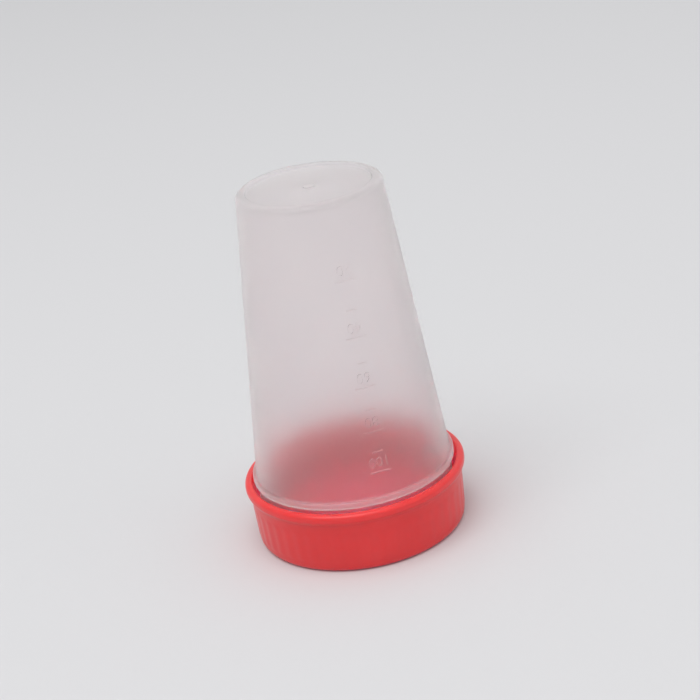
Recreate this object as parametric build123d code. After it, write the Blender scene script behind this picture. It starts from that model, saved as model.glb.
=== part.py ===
from build123d import *

import os
from math import atan2, cos, radians, tan

# Specimen container with a screw lid: two polypropylene mouldings on one axis. It stands on
# the closed face of its lid, with the cup upside down above it, as it is packed and stored.
# Millimetres, +Z up, origin at the centre of the face that it stands on.

# --- Cup: the neck that the lid screws over ---
NECK_DIAMETER = 52.6  # outside, at the root of the thread
NECK_WALL = 1.0
NECK_LENGTH = 16.5  # from the mouth's rim to the collar

# --- Cup: the collar, the tapered wall and the foot ---
COLLAR_PROUD = 0.9  # beyond the wall just above it
COLLAR_HEIGHT = 1.7
CUP_HEIGHT = 96.5  # from the mouth's rim to the foot
CUP_WALL = 1.2
FOOT_DIAMETER = 38.0  # outside, where the tapered wall would meet the foot's plane
FOOT_CHAMFER = 0.9
FLOOR_THICKNESS = 1.4
FLOOR_CHAMFER = 1.4  # inside, between the floor and the wall
FOOT_RING_WIDTH = 2.6
FOOT_RECESS_DEPTH = 0.9
GATE_DIAMETER = 3.0  # the mark that the injection point leaves
GATE_HEIGHT = 0.4

# --- Lid: plate, skirt and lip ---
PLATE_THICKNESS = 1.5
PANEL_DIAMETER = 46.0  # shallow recess in the closed face, inside the ring that it stands on
PANEL_DEPTH = 0.4
SKIRT_WALL = 1.0  # at the closed end
SKIRT_DRAFT = 2.6  # degrees, outside; the bore is straight, as the thread is
CLOSED_EDGE_RADIUS = 1.8
LIP_PROUD = 1.1  # beyond the skirt just under it
LIP_HEIGHT = 2.9
LIP_TOP_CHAMFER = 0.6
LIP_LOWER_CHAMFER = 0.5
LEAD_IN_WIDTH = 0.95  # slope in the lid's open end
LEAD_IN_HEIGHT = 2.0
COLLAR_GAP = 0.5  # between the lid's lip and the cup's collar, screwed tight

# --- Lid: grip ribs ---
RIB_COUNT = 48
RIB_WIDTH = 1.1
RIB_HEIGHT = 0.22
RIB_END_GAP = 0.5  # plain skirt left above the closed edge

# --- Lid: the plug that seals inside the mouth ---
PLUG_HEIGHT = 4.0
PLUG_WALL = 1.0
PLUG_TIP_CHAMFER = 0.3  # leads it into the mouth
PLUG_CLEARANCE = 0.3

# --- The thread, whose turns stand in the gap between neck and bore ---
THREAD_HEIGHT = 0.7
THREAD_CLEARANCE = 0.25

# Radii and heights that follow from the sizes above
neck_radius = NECK_DIAMETER / 2
mouth_radius = neck_radius - NECK_WALL
collar_base_radius = mouth_radius + CUP_WALL
mouth_z = PLATE_THICKNESS
foot_z = mouth_z + CUP_HEIGHT
collar_z = mouth_z + NECK_LENGTH
wall_z = collar_z + COLLAR_HEIGHT
foot_radius = FOOT_DIAMETER / 2
wall_taper = atan2(collar_base_radius - foot_radius, foot_z - wall_z)  # radians
bore_radius = neck_radius + THREAD_HEIGHT + THREAD_CLEARANCE
lid_height = collar_z - COLLAR_GAP


def skirt_radius(z):
    """Outside of the plain skirt, which widens towards the lid's open end."""
    return bore_radius + SKIRT_WALL + z * tan(radians(SKIRT_DRAFT))


def turned(corners):
    """Solid of revolution of a closed half section, whose corners are (radius, height).

    A corner that is eased goes on with how, fillet or chamfer, and by how much.
    """
    section = make_face(Polyline(*[(r, z) for r, z, *_ in corners], close=True))
    for r, z, *easing in corners:
        if easing:
            ease, size = easing
            section = ease(section.vertices().sort_by_distance((r, z))[0], size)
    return revolve(Plane.XZ * section, Axis.Z)


def cup():
    """One moulding: neck, collar, tapered wall, recessed foot and gate mark."""
    inner_floor_z = foot_z - FOOT_RECESS_DEPTH - FLOOR_THICKNESS
    collar_radius = collar_base_radius + COLLAR_PROUD
    recess_radius = foot_radius - FOOT_RING_WIDTH
    recess_z = foot_z - FOOT_RECESS_DEPTH
    gate_radius = GATE_DIAMETER / 2
    gate_z = recess_z + GATE_HEIGHT
    wall_at_floor = collar_base_radius - (inner_floor_z - wall_z) * tan(wall_taper)
    inner_floor_radius = wall_at_floor - CUP_WALL / cos(wall_taper)
    return turned(
        [
            (0, inner_floor_z),
            (inner_floor_radius, inner_floor_z, chamfer, FLOOR_CHAMFER),
            (mouth_radius, wall_z),
            (mouth_radius, mouth_z),
            (neck_radius, mouth_z),
            (neck_radius, collar_z),
            (collar_radius, collar_z),
            (collar_radius, wall_z),
            (collar_base_radius, wall_z),
            (foot_radius, foot_z, chamfer, FOOT_CHAMFER),
            (recess_radius, foot_z),
            (recess_radius, recess_z),
            (gate_radius, recess_z),
            (gate_radius, gate_z),
            (0, gate_z),
        ]
    )


def grip_rib():
    """One low rib along the skirt, with a sloped foot and its root sunk in the wall."""
    sunk = SKIRT_WALL / 2
    low_z = CLOSED_EDGE_RADIUS + RIB_END_GAP - sunk
    crest_low_z = low_z + sunk + RIB_HEIGHT
    high_z = lid_height - LIP_HEIGHT / 2
    section = Polyline(
        (skirt_radius(low_z) - sunk, low_z),
        (skirt_radius(crest_low_z) + RIB_HEIGHT, crest_low_z),
        (skirt_radius(high_z) + RIB_HEIGHT, high_z),
        (skirt_radius(high_z) - sunk, high_z),
        close=True,
    )
    return extrude(Plane.XZ * make_face(section), RIB_WIDTH / 2, both=True)


def lid():
    """One moulding: plate, skirt with its lip and grip ribs, and the plug inside."""
    lip_low_z = lid_height - LIP_HEIGHT
    lip_radius = skirt_radius(lip_low_z) + LIP_PROUD
    lead_in_z = lid_height - LEAD_IN_HEIGHT
    plug_outer = mouth_radius - PLUG_CLEARANCE
    plug_inner = plug_outer - PLUG_WALL
    plug_tip_z = PLATE_THICKNESS + PLUG_HEIGHT
    shell = turned(
        [
            (0, PANEL_DEPTH),
            (PANEL_DIAMETER / 2 - PANEL_DEPTH, PANEL_DEPTH),
            (PANEL_DIAMETER / 2, 0),
            (skirt_radius(0), 0, fillet, CLOSED_EDGE_RADIUS),
            (skirt_radius(lip_low_z), lip_low_z),
            (lip_radius, lip_low_z, chamfer, LIP_LOWER_CHAMFER),
            (lip_radius, lid_height, chamfer, LIP_TOP_CHAMFER),
            (bore_radius + LEAD_IN_WIDTH, lid_height),
            (bore_radius, lead_in_z),
            (bore_radius, PLATE_THICKNESS),
            (plug_outer, PLATE_THICKNESS),
            (plug_outer, plug_tip_z, chamfer, PLUG_TIP_CHAMFER),
            (plug_inner, plug_tip_z),
            (plug_inner, PLATE_THICKNESS),
            (0, PLATE_THICKNESS),
        ]
    )
    return shell + PolarLocations(0, RIB_COUNT) * grip_rib()


os.makedirs("parts", exist_ok=True)
export_step(cup(), "parts/cup.step")
export_step(lid(), "parts/lid.step")
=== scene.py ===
"""Looks of a specimen container with a screw lid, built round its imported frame."""

from math import atan2, cos, hypot, pi, radians, sin, tan, tau

import bmesh
import bpy
from mathutils import Matrix, Vector


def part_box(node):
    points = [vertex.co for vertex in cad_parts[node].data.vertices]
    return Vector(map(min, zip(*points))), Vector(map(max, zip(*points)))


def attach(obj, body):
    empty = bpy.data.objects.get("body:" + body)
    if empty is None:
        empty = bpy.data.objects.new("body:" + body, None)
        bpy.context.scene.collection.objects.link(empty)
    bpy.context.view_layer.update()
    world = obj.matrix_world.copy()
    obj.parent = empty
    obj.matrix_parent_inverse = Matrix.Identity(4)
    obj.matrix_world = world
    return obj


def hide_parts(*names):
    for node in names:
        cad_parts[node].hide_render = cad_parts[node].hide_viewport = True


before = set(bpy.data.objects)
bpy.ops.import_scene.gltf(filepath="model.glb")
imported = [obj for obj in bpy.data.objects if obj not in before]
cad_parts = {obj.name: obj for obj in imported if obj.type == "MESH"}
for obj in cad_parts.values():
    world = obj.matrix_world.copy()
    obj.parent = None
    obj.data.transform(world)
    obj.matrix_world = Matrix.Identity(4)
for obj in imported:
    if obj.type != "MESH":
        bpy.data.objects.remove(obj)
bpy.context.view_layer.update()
cup_low, cup_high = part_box("cup")
lid_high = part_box("lid")[1]

MM = 0.001  # one millimetre in scene units

# --- Sizes in millimetres: the outer ones come from the frame ---
LID_HEIGHT = lid_high.z / MM
MOUTH_Z = cup_low.z / MM
FOOT_Z = cup_high.z / MM
COLLAR_RADIUS = cup_high.x / MM

# --- The cup: neck, collar, tapered wall and foot ---
NECK_RADIUS = 26.3
MOUTH_RADIUS = 25.3
MOUTH_ROUNDING = 0.3
COLLAR_GAP = 0.5  # between the lid's lip and the collar
COLLAR_HEIGHT = 1.7
COLLAR_ROUNDING = 0.2
WALL_RADIUS = 26.5
WALL_THICKNESS = 1.2
FOOT_RADIUS = 19.0
FOOT_ROUNDING = 1.6
FLOOR_THICKNESS = 1.4
FLOOR_ROUNDING = 2.2
RECESS_RADIUS = 16.4
RECESS_DEPTH = 0.9
RECESS_ROUNDING = 0.35
GATE_RADIUS = 1.5
GATE_HEIGHT = 0.4
GATE_ROOT_ROUNDING = 0.18
GATE_EDGE_ROUNDING = 0.2

COLLAR_LOW_Z = LID_HEIGHT + COLLAR_GAP
COLLAR_HIGH_Z = COLLAR_LOW_Z + COLLAR_HEIGHT
RECESS_Z = FOOT_Z - RECESS_DEPTH
INNER_FLOOR_Z = RECESS_Z - FLOOR_THICKNESS

# --- The lid: plate, skirt, lip and the plug inside ---
PLATE_THICKNESS = MOUTH_Z
PANEL_RADIUS = 23.0
PANEL_DEPTH = 0.4
PANEL_ROUNDING = 0.2
SKIRT_RADIUS = 28.25  # at the closed face
SKIRT_DRAFT = radians(2.6)
BORE_RADIUS = 27.25
CLOSED_EDGE_RADIUS = 1.8
INNER_CORNER_RADIUS = 0.6
LIP_PROUD = 1.1
LIP_HEIGHT = 2.9
LIP_TOP_RADIUS = 1.0
LIP_SLOPE_HEIGHT = 1.4  # over which the lip's lower side runs back into the skirt
LIP_SLOPE_DROP = LIP_SLOPE_HEIGHT / 3  # how much of that lies below the lip itself
LIP_LOWER_RADIUS = 0.8
LIP_ROOT_RADIUS = 2.0
LEAD_IN_WIDTH = 0.95
LEAD_IN_HEIGHT = 2.0
LEAD_IN_EDGE_ROUNDING = 0.15
LEAD_IN_ROOT_ROUNDING = 0.3
PLUG_RADIUS = 25.0
PLUG_WALL = 1.0
PLUG_HEIGHT = 4.0
PLUG_TIP_ROUNDING = 0.4
PLUG_OUTER_ROOT_ROUNDING = 0.1
PLUG_INNER_ROOT_ROUNDING = 0.3

RIB_COUNT = 48
RIB_HEIGHT = 0.12
RIB_END_GAP = 0.5  # plain skirt left above the closed edge
RIB_RUN_OUT = 1.2  # each rib rises out of the skirt over this height

# --- The thread: one start, right-handed, on the neck and inside the skirt ---
THREAD_LEAD = 4.0
THREAD_TURNS = 1.75
THREAD_ROOT_WIDTH = 1.7
THREAD_CREST_WIDTH = 0.7
THREAD_END_GAP = 1.0  # plain wall left at the mouth, the collar and the plate
THREAD_RUN_OUT = radians(25)  # each end fades into the wall over this turn
NECK_THREAD_HEIGHT = 0.7
NECK_THREAD_START_Z = 5.2
SKIRT_THREAD_CREST_RADIUS = 26.55
FLANK_GAP = 1.75  # from a neck turn's middle to the skirt turn's that pulls on it

# --- Graduations, raised on the wall and read with the cup's mouth up ---
GRADUATED_ML = range(20, 101, 10)
NUMBERED_ML = 20  # every line at a multiple of this has its number
GRADUATION_AZIMUTH = radians(15.5)  # of their middle, to the right of the front
GRADUATION_HEIGHT = 0.12
GRADUATION_ROOT = 0.1  # sunk in the wall
NUMBERED_LINE = 5.6
PLAIN_LINE = 2.6
LINE_WIDTH = 0.45
LINE_ROUNDING = 0.1
NUMERAL_SIZE = 4.0
NUMERAL_GAP = 0.7  # between a line and the top of its number
CUBIC_MM_PER_ML = 1000
SLICE_HEIGHT = 0.05  # of the cup's contents, added up to find where a line goes

# --- How finely the shapes are made ---
CUP_STEPS = 288  # round the axis
STEPS_PER_RIB = 8
LID_STEPS = RIB_COUNT * STEPS_PER_RIB
ROUNDING_SEGMENTS = 5
WALL_EDGE_LENGTH = 5.0  # a longer edge of a half section is a wall, not a rounding
NECK_CUTS = 63  # fine enough for the thread's flanks
BORE_CUTS = 55
SKIRT_CUTS = 27  # for the ribs, which fade out at both ends
LINE_SEGMENTS = 2
LINE_CUTS = 7  # so that a line bends round the wall
NUMERAL_CURVE_STEPS = 4
ON_WALL = 0.01  # a point this near to a wall's radius is on that wall
MERGE_DISTANCE = 1e-5
NUMERAL_MERGE_DISTANCE = 1e-4
SHARP_ANGLE = radians(40)  # edges that turn more than this are shaded sharp


# ---------------------------------------------------------------- shapes


def turned_wire(corners):
    """A bmesh wire of the half section, given as (radius, height, rounding) in millimetres."""
    shape = bmesh.new()
    joined = [shape.verts.new((r, 0, z)) for r, z, _ in corners]
    for start, end in zip(joined, joined[1:]):
        shape.edges.new((start, end))
    triples = zip(corners, corners[1:], corners[2:])
    for corner, (before, here, after) in zip(joined[1:-1], triples):
        if here[2]:
            into = Vector((here[0] - before[0], here[1] - before[1]))
            out = Vector((after[0] - here[0], after[1] - here[1]))
            reach = here[2] * tan(into.angle(out) / 2)
            bmesh.ops.bevel(
                shape, geom=[corner], offset=reach, offset_type="OFFSET",
                segments=ROUNDING_SEGMENTS, profile=0.5, affect="VERTICES", material=-1,
            )
    return shape


def cut_wall(shape, low_radius, high_radius, cuts):
    """Cuts the wire's one long edge between these radii, so that the wall can be shaped."""
    long_edges = [
        edge for edge in shape.edges
        if edge.calc_length() > WALL_EDGE_LENGTH
        and all(low_radius - ON_WALL < v.co.x < high_radius + ON_WALL for v in edge.verts)
    ]
    bmesh.ops.subdivide_edges(shape, edges=long_edges, cuts=cuts)


def spin_closed(shape, steps):
    """Spins the wire about Z into a closed skin that faces outwards."""
    bmesh.ops.spin(
        shape, geom=shape.verts[:] + shape.edges[:], axis=(0, 0, 1), cent=(0, 0, 0),
        dvec=(0, 0, 0), angle=tau, steps=steps, use_merge=True,
    )
    bmesh.ops.remove_doubles(shape, verts=shape.verts, dist=MERGE_DISTANCE)
    bmesh.ops.recalc_face_normals(shape, faces=shape.faces)


def placed(name, data):
    """A new object with this data, in the scene."""
    made = bpy.data.objects.new(name, data)
    bpy.context.scene.collection.objects.link(made)
    return made


def finished(name, shape, material, body):
    """Turns millimetres into the scene's metres and makes the piece, smooth shaded."""
    bmesh.ops.scale(shape, vec=(MM, MM, MM), verts=shape.verts)
    mesh = bpy.data.meshes.new(name)
    shape.to_mesh(mesh)
    shape.free()
    mesh.materials.append(material)
    mesh.shade_smooth()
    mesh.set_sharp_from_angle(angle=SHARP_ANGLE)
    piece = placed(name, mesh)
    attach(piece, body)
    return piece


def ramp(value, low, high):
    """0 below low, 1 above high, smooth between."""
    share = min(max((value - low) / (high - low), 0), 1)
    return share * share * (3 - 2 * share)


def thread_share(angle, z, start_z):
    """How far the thread stands out here: 0 on the plain wall, 1 on the crest."""
    best = 0
    for turn in range(int(THREAD_TURNS) + 1):
        travelled = angle % tau + turn * tau
        left = THREAD_TURNS * tau - travelled
        if left > 0:
            off_middle = abs(z - start_z - THREAD_LEAD * travelled / tau)
            flank = 1 - ramp(off_middle, THREAD_CREST_WIDTH / 2, THREAD_ROOT_WIDTH / 2)
            best = max(best, flank * ramp(min(travelled, left), 0, THREAD_RUN_OUT))
    return best


def move_out(vert, distance):
    """Moves a vertex straight out from the axis."""
    radius = hypot(vert.co.x, vert.co.y)
    vert.co.xy *= (radius + distance) / radius


def raise_thread(shape, wall_radius, low_z, high_z, start_z, height):
    """Raises the thread on a straight wall; a negative height raises it inwards."""
    for vert in shape.verts:
        x, y, z = vert.co
        if low_z < z < high_z and abs(hypot(x, y) - wall_radius) < ON_WALL:
            move_out(vert, height * thread_share(atan2(y, x), z, start_z))


def outer_wall(z):
    """Outside radius of the tapered wall."""
    share = (z - COLLAR_HIGH_Z) / (FOOT_Z - COLLAR_HIGH_Z)
    return WALL_RADIUS + (FOOT_RADIUS - WALL_RADIUS) * share


def skirt_radius(z):
    """Outside of the plain skirt."""
    return SKIRT_RADIUS + z * tan(SKIRT_DRAFT)


def make_cup(material):
    """The cup: neck with its thread, collar, tapered wall, recessed foot and gate mark."""
    shape = turned_wire(
        [
            (0, INNER_FLOOR_Z, 0),
            (outer_wall(INNER_FLOOR_Z) - WALL_THICKNESS, INNER_FLOOR_Z, FLOOR_ROUNDING),
            (MOUTH_RADIUS, COLLAR_HIGH_Z, 0),
            (MOUTH_RADIUS, MOUTH_Z, MOUTH_ROUNDING),
            (NECK_RADIUS, MOUTH_Z, MOUTH_ROUNDING),
            (NECK_RADIUS, COLLAR_LOW_Z, 0),
            (COLLAR_RADIUS, COLLAR_LOW_Z, COLLAR_ROUNDING),
            (COLLAR_RADIUS, COLLAR_HIGH_Z, COLLAR_ROUNDING),
            (WALL_RADIUS, COLLAR_HIGH_Z, COLLAR_ROUNDING),
            (FOOT_RADIUS, FOOT_Z, FOOT_ROUNDING),
            (RECESS_RADIUS, FOOT_Z, RECESS_ROUNDING),
            (RECESS_RADIUS, RECESS_Z, RECESS_ROUNDING),
            (GATE_RADIUS, RECESS_Z, GATE_ROOT_ROUNDING),
            (GATE_RADIUS, RECESS_Z + GATE_HEIGHT, GATE_EDGE_ROUNDING),
            (0, RECESS_Z + GATE_HEIGHT, 0),
        ]
    )
    cut_wall(shape, NECK_RADIUS, NECK_RADIUS, NECK_CUTS)
    spin_closed(shape, CUP_STEPS)
    raise_thread(
        shape, NECK_RADIUS, MOUTH_Z + THREAD_END_GAP, COLLAR_LOW_Z - THREAD_END_GAP,
        NECK_THREAD_START_Z, NECK_THREAD_HEIGHT,
    )
    cup = finished("cup_moulding", shape, material, "cup")
    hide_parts("cup")


def raise_ribs(shape, low_z, high_z):
    """Raises soft grip ribs along the skirt, that fade out at both ends."""
    for vert in shape.verts:
        x, y, z = vert.co
        if low_z < z < high_z and abs(hypot(x, y) - skirt_radius(z)) < ON_WALL:
            across = (1 + cos(RIB_COUNT * atan2(y, x))) / 2
            along = ramp(min(z - low_z, high_z - z), 0, RIB_RUN_OUT)
            move_out(vert, RIB_HEIGHT * across * along)


def make_lid(material):
    """The lid: plate, ribbed skirt, lip, lead-in, thread and the plug inside."""
    lip_low_z = LID_HEIGHT - LIP_HEIGHT
    lip_radius = skirt_radius(lip_low_z) + LIP_PROUD
    slope_low_z = lip_low_z - LIP_SLOPE_DROP
    lead_in_z = LID_HEIGHT - LEAD_IN_HEIGHT
    plug_tip_z = PLATE_THICKNESS + PLUG_HEIGHT
    plug_inner = PLUG_RADIUS - PLUG_WALL
    shape = turned_wire(
        [
            (0, PANEL_DEPTH, 0),
            (PANEL_RADIUS - PANEL_DEPTH, PANEL_DEPTH, PANEL_ROUNDING),
            (PANEL_RADIUS, 0, PANEL_ROUNDING),
            (SKIRT_RADIUS, 0, CLOSED_EDGE_RADIUS),
            (skirt_radius(slope_low_z), slope_low_z, LIP_ROOT_RADIUS),
            (lip_radius, slope_low_z + LIP_SLOPE_HEIGHT, LIP_LOWER_RADIUS),
            (lip_radius, LID_HEIGHT, LIP_TOP_RADIUS),
            (BORE_RADIUS + LEAD_IN_WIDTH, LID_HEIGHT, LEAD_IN_EDGE_ROUNDING),
            (BORE_RADIUS, lead_in_z, LEAD_IN_ROOT_ROUNDING),
            (BORE_RADIUS, PLATE_THICKNESS, INNER_CORNER_RADIUS),
            (PLUG_RADIUS, PLATE_THICKNESS, PLUG_OUTER_ROOT_ROUNDING),
            (PLUG_RADIUS, plug_tip_z, PLUG_TIP_ROUNDING),
            (plug_inner, plug_tip_z, PLUG_TIP_ROUNDING),
            (plug_inner, PLATE_THICKNESS, PLUG_INNER_ROOT_ROUNDING),
            (0, PLATE_THICKNESS, 0),
        ]
    )
    cut_wall(shape, SKIRT_RADIUS, skirt_radius(slope_low_z), SKIRT_CUTS)
    cut_wall(shape, BORE_RADIUS, BORE_RADIUS, BORE_CUTS)
    spin_closed(shape, LID_STEPS)
    raise_ribs(shape, CLOSED_EDGE_RADIUS + RIB_END_GAP, slope_low_z - LIP_ROOT_RADIUS)
    raise_thread(
        shape, BORE_RADIUS, PLATE_THICKNESS + THREAD_END_GAP, lead_in_z,
        NECK_THREAD_START_Z + FLANK_GAP, SKIRT_THREAD_CREST_RADIUS - BORE_RADIUS,
    )
    lid = finished("lid_moulding", shape, material, "lid")
    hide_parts("lid")


# ----------------------------------------------------------- graduations


def surface_height(millilitres):
    """Height of the surface when the cup, turned mouth up, holds this much."""
    z = INNER_FLOOR_Z
    held = 0
    while held < millilitres * CUBIC_MM_PER_ML:
        held += pi * (outer_wall(z) - WALL_THICKNESS) ** 2 * SLICE_HEIGHT
        z -= SLICE_HEIGHT
    return z


def lay_on_wall(shape, verts, z):
    """Wraps flat work, X along and Y up the upturned cup and Z out of it, onto the wall."""
    for vert in verts:
        along, up, out = vert.co
        height = z - up
        radius = outer_wall(height) + out
        azimuth = GRADUATION_AZIMUTH - along / outer_wall(z)
        vert.co = (radius * sin(azimuth), -radius * cos(azimuth), height)


def raised_line(shape, length):
    """A bevelled bar on the XY plane; returns its vertices."""
    bar = bmesh.ops.create_cube(shape, size=1)["verts"]
    bmesh.ops.translate(shape, verts=bar, vec=(0, 0, 0.5))  # puts its base at 0
    bmesh.ops.scale(
        shape, verts=bar, vec=(length, LINE_WIDTH, GRADUATION_HEIGHT + GRADUATION_ROOT)
    )
    bmesh.ops.translate(shape, verts=bar, vec=(0, 0, -GRADUATION_ROOT))
    edges = {edge for vert in bar for edge in vert.link_edges}
    top = [edge for edge in edges if all(v.co.z > 0 for v in edge.verts)]
    bmesh.ops.bevel(
        shape, geom=top, offset=LINE_ROUNDING, segments=LINE_SEGMENTS, profile=0.5,
        affect="EDGES", material=-1,
    )
    lengthwise = [
        edge for edge in shape.edges
        if abs(edge.verts[0].co.x - edge.verts[1].co.x) > length / 2
    ]
    bmesh.ops.subdivide_edges(shape, edges=lengthwise, cuts=LINE_CUTS, use_grid_fill=True)
    return shape.verts[:]


def raised_numeral(shape, words):
    """Raised numerals centred on X, whose tops touch Y = 0; returns their vertices."""
    text = bpy.data.curves.new("numeral", "FONT")
    text.body = words
    text.size = NUMERAL_SIZE
    text.align_x = "CENTER"
    text.align_y = "TOP"
    text.resolution_u = NUMERAL_CURVE_STEPS
    text.extrude = (GRADUATION_HEIGHT + GRADUATION_ROOT) / 2
    holder = bpy.data.objects.new("numeral", text)
    mesh = bpy.data.meshes.new_from_object(holder)
    shape.from_mesh(mesh)
    bmesh.ops.remove_doubles(shape, verts=shape.verts, dist=NUMERAL_MERGE_DISTANCE)
    bmesh.ops.translate(
        shape, verts=shape.verts, vec=(0, 0, (GRADUATION_HEIGHT - GRADUATION_ROOT) / 2)
    )
    return shape.verts[:]


def make_graduations(material):
    """A line for each volume, every other one with its number just below it."""
    whole = bpy.data.meshes.new("graduations")
    gathered = bmesh.new()
    for millilitres in GRADUATED_ML:
        numbered = millilitres % NUMBERED_ML == 0
        z = surface_height(millilitres)
        parts = [(raised_line, NUMBERED_LINE if numbered else PLAIN_LINE, z)]
        if numbered:
            parts.append((raised_numeral, str(millilitres), z + NUMERAL_GAP))
        for make, what, height in parts:
            shape = bmesh.new()
            lay_on_wall(shape, make(shape, what), height)
            bmesh.ops.recalc_face_normals(shape, faces=shape.faces)
            shape.to_mesh(whole)
            shape.free()
            gathered.from_mesh(whole)
    finished("graduations", gathered, material, "cup")


# ------------------------------------------------------------- materials

# Sizes of the patterns' features in millimetres. A moulded skin's ripple and the fibres of
# paper are finer than this, and are drawn coarser so that they show.
HAZE_SIZE = 14  # slow changes in the haze, from the way the plastic cooled
FLOW_SIZE = 9  # slow changes in the pigment, from the way the plastic flowed
CUP_SKIN_GRAIN = 0.9
LID_SKIN_GRAIN = 0.7
SKIN_DEPTH = 0.03
PAPER_GRAIN = 2

NOISE_LOW = 0.3  # noise keeps mostly between these two
NOISE_HIGH = 0.7
CUP_ROUGHNESS_LOW = 0.50
CUP_ROUGHNESS_HIGH = 0.58
LID_ROUGHNESS_LOW = 0.28
LID_ROUGHNESS_HIGH = 0.36
PAPER_ROUGHNESS_LOW = 0.85
PAPER_ROUGHNESS_HIGH = 0.95
WALL_CLEARNESS = 0.94  # the share of the light that goes through and isn't scattered back
COLLAR_CLEARNESS = 0.80
POLYPROPYLENE_IOR = 1.49
MATCHED_WALL_IOR = 1.15

# The Mix node has sockets for every kind of data, and these are its colour ones
MIX_AT_0 = 6
MIX_AT_1 = 7
MIX_RESULT = 2


def colour(hex_value):
    """Linear RGBA of an sRGB hex colour such as "c83c3c", by the sRGB standard's curve."""
    parts = [int(hex_value[i:i + 2], 16) / 255 for i in (0, 2, 4)]
    linear = [p / 12.92 if p <= 0.04045 else ((p + 0.055) / 1.055) ** 2.4 for p in parts]
    return (*linear, 1.0)


def add(tree, kind, inputs=(), **settings):
    """Adds a node: settings are its properties, inputs its socket values or links."""
    made = tree.nodes.new(kind)
    for name, value in settings.items():
        setattr(made, name, value)
    for name, value in dict(inputs).items():
        if isinstance(value, bpy.types.NodeSocket):
            tree.links.new(value, made.inputs[name])
        else:
            made.inputs[name].default_value = value
    return made


def new_material(name):
    """An empty node material and its output node."""
    material = bpy.data.materials.new(name)
    material.use_nodes = True
    material.node_tree.nodes.clear()
    return material, material.node_tree, add(material.node_tree, "ShaderNodeOutputMaterial")


def per_mm(size):
    """Noise scale, per metre, of a pattern whose features are this many millimetres across."""
    return 1 / (size * MM)


def natural_polypropylene():
    """Injection-moulded polypropylene with no pigment: what is behind shows in a milky blur.

    The collar is the thickest part, so it is the milkiest and stands out as a paler band.
    The wall's IOR is matched down from polypropylene's, as the real thin wall hardly darkens
    at its edges and lets in much more light than a clean surface of that IOR would. The coat
    keeps polypropylene's IOR, for the soft shine along the wall's edges.
    """
    material, tree, output = new_material("natural_polypropylene_moulded")
    place = add(tree, "ShaderNodeTexCoord").outputs["Object"]
    clouds = add(
        tree, "ShaderNodeTexNoise",
        {"Vector": place, "Scale": per_mm(HAZE_SIZE), "Detail": 3.0, "Roughness": 0.5},
    ).outputs["Fac"]
    haze = add(tree, "ShaderNodeValToRGB", {"Fac": clouds})
    milky, clear = haze.color_ramp.elements
    milky.position = NOISE_LOW
    milky.color = colour("f8f4f5")
    clear.position = NOISE_HIGH
    clear.color = colour("fcf8f8")
    gloss = add(
        tree, "ShaderNodeMapRange",
        {
            "Value": clouds, "From Min": NOISE_LOW, "From Max": NOISE_HIGH,
            "To Min": CUP_ROUGHNESS_LOW, "To Max": CUP_ROUGHNESS_HIGH,
        },
    ).outputs["Result"]
    skin = add(
        tree, "ShaderNodeTexNoise",
        {"Vector": place, "Scale": per_mm(CUP_SKIN_GRAIN), "Detail": 2.0, "Roughness": 0.6},
    ).outputs["Fac"]
    relief = add(
        tree, "ShaderNodeBump",
        {"Height": skin, "Strength": 0.1, "Distance": SKIN_DEPTH * MM},
    ).outputs["Normal"]
    height = add(tree, "ShaderNodeSeparateXYZ", {"Vector": place}).outputs["Z"]
    # 1 within half the collar's height of its middle, and 0 elsewhere
    collar = add(
        tree, "ShaderNodeMath",
        {
            0: height,
            1: (COLLAR_LOW_Z + COLLAR_HIGH_Z) / 2 * MM,
            2: (COLLAR_HIGH_Z - COLLAR_LOW_Z) / 2 * MM,
        },
        operation="COMPARE",
    ).outputs["Value"]
    clearness = add(
        tree, "ShaderNodeMapRange",
        {
            "Value": collar, "From Min": 0.0, "From Max": 1.0,
            "To Min": WALL_CLEARNESS, "To Max": COLLAR_CLEARNESS,
        },
    ).outputs["Result"]
    shader = add(
        tree, "ShaderNodeBsdfPrincipled",
        {
            "Base Color": haze.outputs["Color"],
            "Roughness": gloss,
            "IOR": MATCHED_WALL_IOR,
            "Transmission Weight": clearness,
            "Sheen Weight": 0.4,
            "Sheen Roughness": 0.5,
            "Coat Weight": 0.2,
            "Coat Roughness": 0.2,
            "Coat IOR": POLYPROPYLENE_IOR,
            "Normal": relief,
        },
    )
    tree.links.new(shader.outputs["BSDF"], output.inputs["Surface"])
    return material


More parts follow.
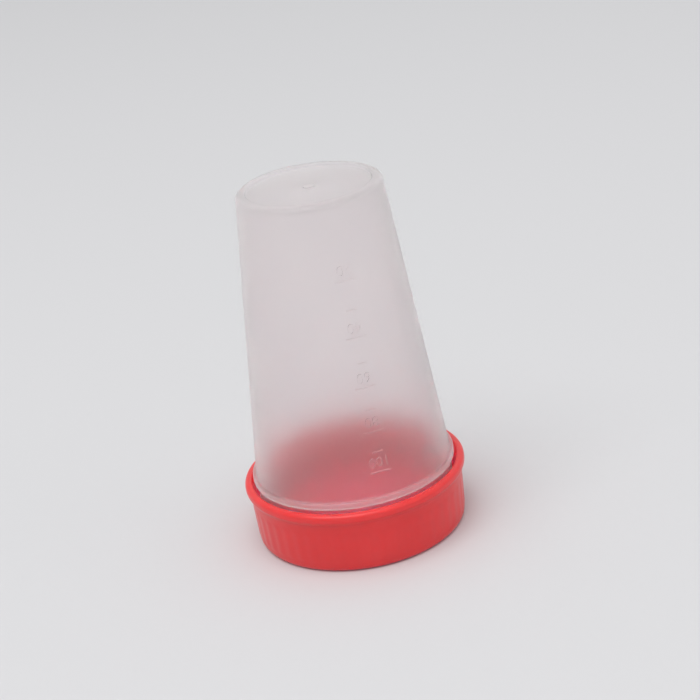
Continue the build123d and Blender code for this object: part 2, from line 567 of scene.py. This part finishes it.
def red_polypropylene():
    """Injection-moulded pigmented polypropylene: satin red that light sinks into.

    Inside the bore the red is painted a brighter pink: painted light that stands in for the
    light coming back through the thin plate and skirt.
    """
    material, tree, output = new_material("red_polypropylene_moulded")
    place = add(tree, "ShaderNodeTexCoord").outputs["Object"]
    flow = add(
        tree, "ShaderNodeTexNoise",
        {"Vector": place, "Scale": per_mm(FLOW_SIZE), "Detail": 4.0, "Roughness": 0.55},
    ).outputs["Fac"]
    pigment = add(tree, "ShaderNodeValToRGB", {"Fac": flow})
    thin, dense = pigment.color_ramp.elements
    thin.position = NOISE_LOW
    thin.color = colour("dd3639")
    dense.position = NOISE_HIGH
    dense.color = colour("e33b3d")
    # Painted light: within the bore's radius the colour is painted a brighter pink, fading
    # back to the pigment by the skirt's radius, in place of light that comes through the thin
    # plate and skirt
    flat = add(tree, "ShaderNodeVectorMath", {0: place, 1: (1, 1, 0)}, operation="MULTIPLY")
    radius = add(
        tree, "ShaderNodeVectorMath", {0: flat.outputs["Vector"]}, operation="LENGTH"
    ).outputs["Value"]
    inside = add(
        tree, "ShaderNodeMapRange",
        {
            "Value": radius, "From Min": BORE_RADIUS * MM, "From Max": SKIRT_RADIUS * MM,
            "To Min": 1.0, "To Max": 0.0,
        },
    ).outputs["Result"]
    # The painted brighter pink inside the lid (painted light), mixed over the pigment
    painted_inner_light = add(
        tree, "ShaderNodeMix",
        {
            "Factor": inside, MIX_AT_0: pigment.outputs["Color"],
            MIX_AT_1: colour("fe4c68"),
        },
        data_type="RGBA",
    ).outputs[MIX_RESULT]
    gloss = add(
        tree, "ShaderNodeMapRange",
        {
            "Value": flow, "From Min": NOISE_LOW, "From Max": NOISE_HIGH,
            "To Min": LID_ROUGHNESS_LOW, "To Max": LID_ROUGHNESS_HIGH,
        },
    ).outputs["Result"]
    skin = add(
        tree, "ShaderNodeTexNoise",
        {"Vector": place, "Scale": per_mm(LID_SKIN_GRAIN), "Detail": 2.0, "Roughness": 0.6},
    ).outputs["Fac"]
    relief = add(
        tree, "ShaderNodeBump",
        {"Height": skin, "Strength": 0.3, "Distance": SKIN_DEPTH * MM},
    ).outputs["Normal"]
    shader = add(
        tree, "ShaderNodeBsdfPrincipled",
        {
            "Base Color": painted_inner_light,
            "Subsurface Weight": 1.0,
            "Subsurface Radius": (1.0, 0.08, 0.08),
            "Subsurface Scale": 2.5 * MM,
            "Roughness": gloss,
            "IOR": POLYPROPYLENE_IOR,
            "Normal": relief,
        },
    )
    tree.links.new(shader.outputs["BSDF"], output.inputs["Surface"])
    return material


def studio_paper():
    """Matt pale paper: an even ground, with no shine, that takes the soft shadow."""
    material, tree, output = new_material("studio_paper")
    place = add(tree, "ShaderNodeTexCoord").outputs["Object"]
    grain = add(
        tree, "ShaderNodeTexNoise",
        {"Vector": place, "Scale": per_mm(PAPER_GRAIN), "Detail": 2.0},
    ).outputs["Fac"]
    gloss = add(
        tree, "ShaderNodeMapRange",
        {
            "Value": grain, "From Min": 0.0, "From Max": 1.0,
            "To Min": PAPER_ROUGHNESS_LOW, "To Max": PAPER_ROUGHNESS_HIGH,
        },
    ).outputs["Result"]
    shader = add(
        tree, "ShaderNodeBsdfPrincipled",
        {"Base Color": colour("d2d2d4"), "Roughness": gloss, "Specular IOR Level": 0.2},
    )
    tree.links.new(shader.outputs["BSDF"], output.inputs["Surface"])
    return material


# ----------------------------------------------------------------- stage

# Places and sizes in metres, powers in watts
FLOOR_SIZE = 4.0
WORLD_STRENGTH = 0.65
LAMP_AIM = Vector((0, 0, 0.04))
TOP_PLACE = Vector((-0.35, -0.55, 1.9))
TOP_SIZE = 1.6
TOP_POWER = 24.0
FILL_PLACE = Vector((0.8, -0.35, 0.5))
FILL_SIZE = 0.7
FILL_POWER = 0.5

CAMERA_DISTANCE = 0.5
CAMERA_ELEVATION = radians(22.5)
CAMERA_ROLL = radians(9.1)  # makes the container lean to the left in view
CAMERA_AIM = Vector((3.87, 0, 50.72)) * MM
FRAME_PIXELS = 700
FOCAL_PIXELS = 1888
SENSOR_WIDTH = 36.0  # the camera's own millimetres
CLIP_START = 0.01


def make_floor():
    """A wide pale floor that the lid's closed face stands on."""
    shape = bmesh.new()
    bmesh.ops.create_grid(shape, x_segments=1, y_segments=1, size=FLOOR_SIZE)
    mesh = bpy.data.meshes.new("floor")
    shape.to_mesh(mesh)
    shape.free()
    mesh.materials.append(studio_paper())
    floor = placed("floor", mesh)


def soft_box(name, place, size, power):
    """A square area light that faces the container."""
    lamp = bpy.data.lights.new(name, "AREA")
    lamp.shape = "SQUARE"
    lamp.size = size
    lamp.energy = power
    holder = placed(name, lamp)
    holder.location = place
    holder.rotation_euler = (LAMP_AIM - place).to_track_quat("-Z", "Y").to_euler()


def make_world():
    """Even white surroundings."""
    world = bpy.data.worlds.new("white_room")
    world.use_nodes = True
    tree = world.node_tree
    tree.nodes.clear()
    light = add(
        tree, "ShaderNodeBackground", {"Color": colour("ffffff"), "Strength": WORLD_STRENGTH}
    )
    output = add(tree, "ShaderNodeOutputWorld")
    tree.links.new(light.outputs["Background"], output.inputs["Surface"])
    bpy.context.scene.world = world


def make_camera():
    """The camera looks down at the container along +Y, rolled so that it leans left."""
    forward = Vector((0, cos(CAMERA_ELEVATION), -sin(CAMERA_ELEVATION)))
    level_up = Vector((0, sin(CAMERA_ELEVATION), cos(CAMERA_ELEVATION)))
    right = Vector((cos(CAMERA_ROLL), 0, 0)) - level_up * sin(CAMERA_ROLL)
    up = Vector((sin(CAMERA_ROLL), 0, 0)) + level_up * cos(CAMERA_ROLL)
    data = bpy.data.cameras.new("camera")
    data.sensor_width = SENSOR_WIDTH
    data.lens = FOCAL_PIXELS / FRAME_PIXELS * SENSOR_WIDTH
    data.clip_start = CLIP_START
    camera = placed("camera", data)
    turn = Matrix((right, up, -forward)).transposed().to_4x4()
    camera.matrix_world = Matrix.Translation(CAMERA_AIM - forward * CAMERA_DISTANCE) @ turn
    bpy.context.scene.camera = camera


natural = natural_polypropylene()
make_cup(natural)
make_graduations(natural)
make_lid(red_polypropylene())
make_floor()
make_world()
soft_box("top", TOP_PLACE, TOP_SIZE, TOP_POWER)
soft_box("fill", FILL_PLACE, FILL_SIZE, FILL_POWER)
make_camera()
bpy.context.scene.view_settings.view_transform = "Standard"
